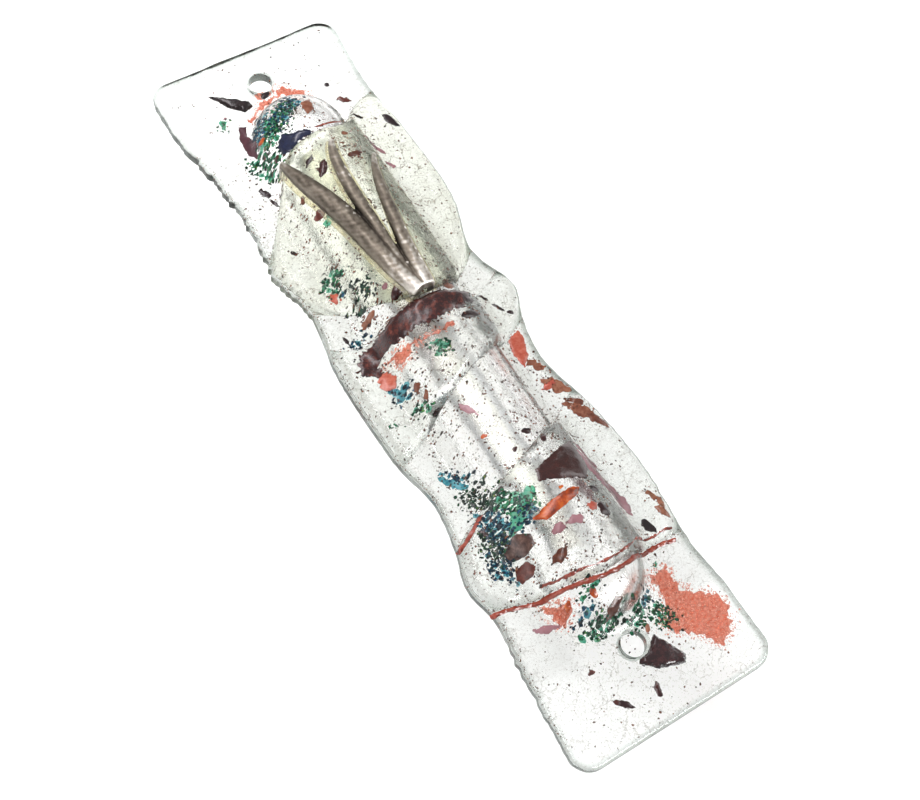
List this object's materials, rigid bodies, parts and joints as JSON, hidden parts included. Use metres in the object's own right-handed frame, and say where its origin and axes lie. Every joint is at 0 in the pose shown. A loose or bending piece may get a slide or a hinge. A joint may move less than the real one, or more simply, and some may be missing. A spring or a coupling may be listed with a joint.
{
  "type": "mezuzah case",
  "caption": "Slumped art-glass mezuzah case with an open-backed tunnel for a rolled scroll, drilled ends and a cast three-pronged emblem.",
  "frame": {"origin": "centre of the plate on its back face, which lies on the doorpost", "axes": "+Z out of the front of the case, +Y along its length towards the upper end, +X to the right when facing it"},
  "size_m": [0.0464, 0.171, 0.0175],
  "materials": {
    "base_glass": "clear float glass, fire-polished",
    "cover_glass_top": "clear fused glass with bubbles and specks",
    "cover_glass_middle": "clear fused glass with bubbles and specks",
    "cover_glass_bottom": "clear fused glass with bubbles and specks",
    "spike_shard": "opaque dark oxblood glass, glossy",
    "triangle_shard": "opaque dark oxblood glass, glossy",
    "tunnel_shard": "opaque black-brown glass, glossy",
    "oxblood_band": "opaque oxblood glass, glossy",
    "orange_shard": "orange-red glass, glossy",
    "navy_patch": "opaque black-navy glass, glossy",
    "oxblood_hexagon": "oxblood glass, glossy",
    "purple_shard": "dark purple glass, glossy",
    "black_chips": "black glass, glossy",
    "oxblood_chips": "oxblood glass, glossy",
    "brown_chips": "brown glass, glossy",
    "mauve_streaks": "translucent mauve glass",
    "orange_chips": "orange glass, glossy",
    "coral_chips": "coral glass, glossy",
    "diagonal_thread": "coral glass thread",
    "emblem_thread": "red glass thread",
    "lower_seam_thread": "red glass thread",
    "green_frit": "emerald green crushed glass",
    "blue_frit": "teal and blue crushed glass",
    "dark_frit": "navy and black-green crushed glass",
    "coral_strip": "coral-red sheet glass",
    "coral_powder_top": "coral glass powder",
    "coral_powder_low": "coral glass powder",
    "coral_powder_foot": "coral glass powder",
    "coral_powder_band": "coral glass powder with dark specks",
    "shin_emblem": "cast white metal with brown patina, edges rubbed bright",
    "emblem_adhesive": "clear yellowish glue",
    "parchment_scroll": "matte parchment",
    "scroll_sleeve": "clear film"
  },
  "bodies": {
    "case": {"base_glass": "base_glass", "cover_glass_top": "cover_glass_top", "cover_glass_middle": "cover_glass_middle", "cover_glass_bottom": "cover_glass_bottom", "spike_shard": "spike_shard", "triangle_shard": "triangle_shard", "tunnel_shard": "tunnel_shard", "oxblood_band": "oxblood_band", "orange_shard": "orange_shard", "navy_patch": "navy_patch", "oxblood_hexagon": "oxblood_hexagon", "purple_shard": "purple_shard", "black_chips": "black_chips", "oxblood_chips": "oxblood_chips", "brown_chips": "brown_chips", "mauve_streaks": "mauve_streaks", "orange_chips": "orange_chips", "coral_chips": "coral_chips", "diagonal_thread": "diagonal_thread", "emblem_thread": "emblem_thread", "lower_seam_thread": "lower_seam_thread", "green_frit": "green_frit", "blue_frit": "blue_frit", "dark_frit": "dark_frit", "coral_strip": "coral_strip", "coral_powder_top": "coral_powder_top", "coral_powder_low": "coral_powder_low", "coral_powder_foot": "coral_powder_foot", "coral_powder_band": "coral_powder_band", "shin_emblem": "shin_emblem", "emblem_adhesive": "emblem_adhesive"},
    "scroll": {"parchment_scroll": "parchment_scroll", "scroll_sleeve": "scroll_sleeve"}
  },
  "joints": [
    {"name": "scroll_slide", "type": "slide", "parent": "case", "child": "scroll", "axis": [0, 0, -1], "range_m": [0, 0.03]}
  ]
}
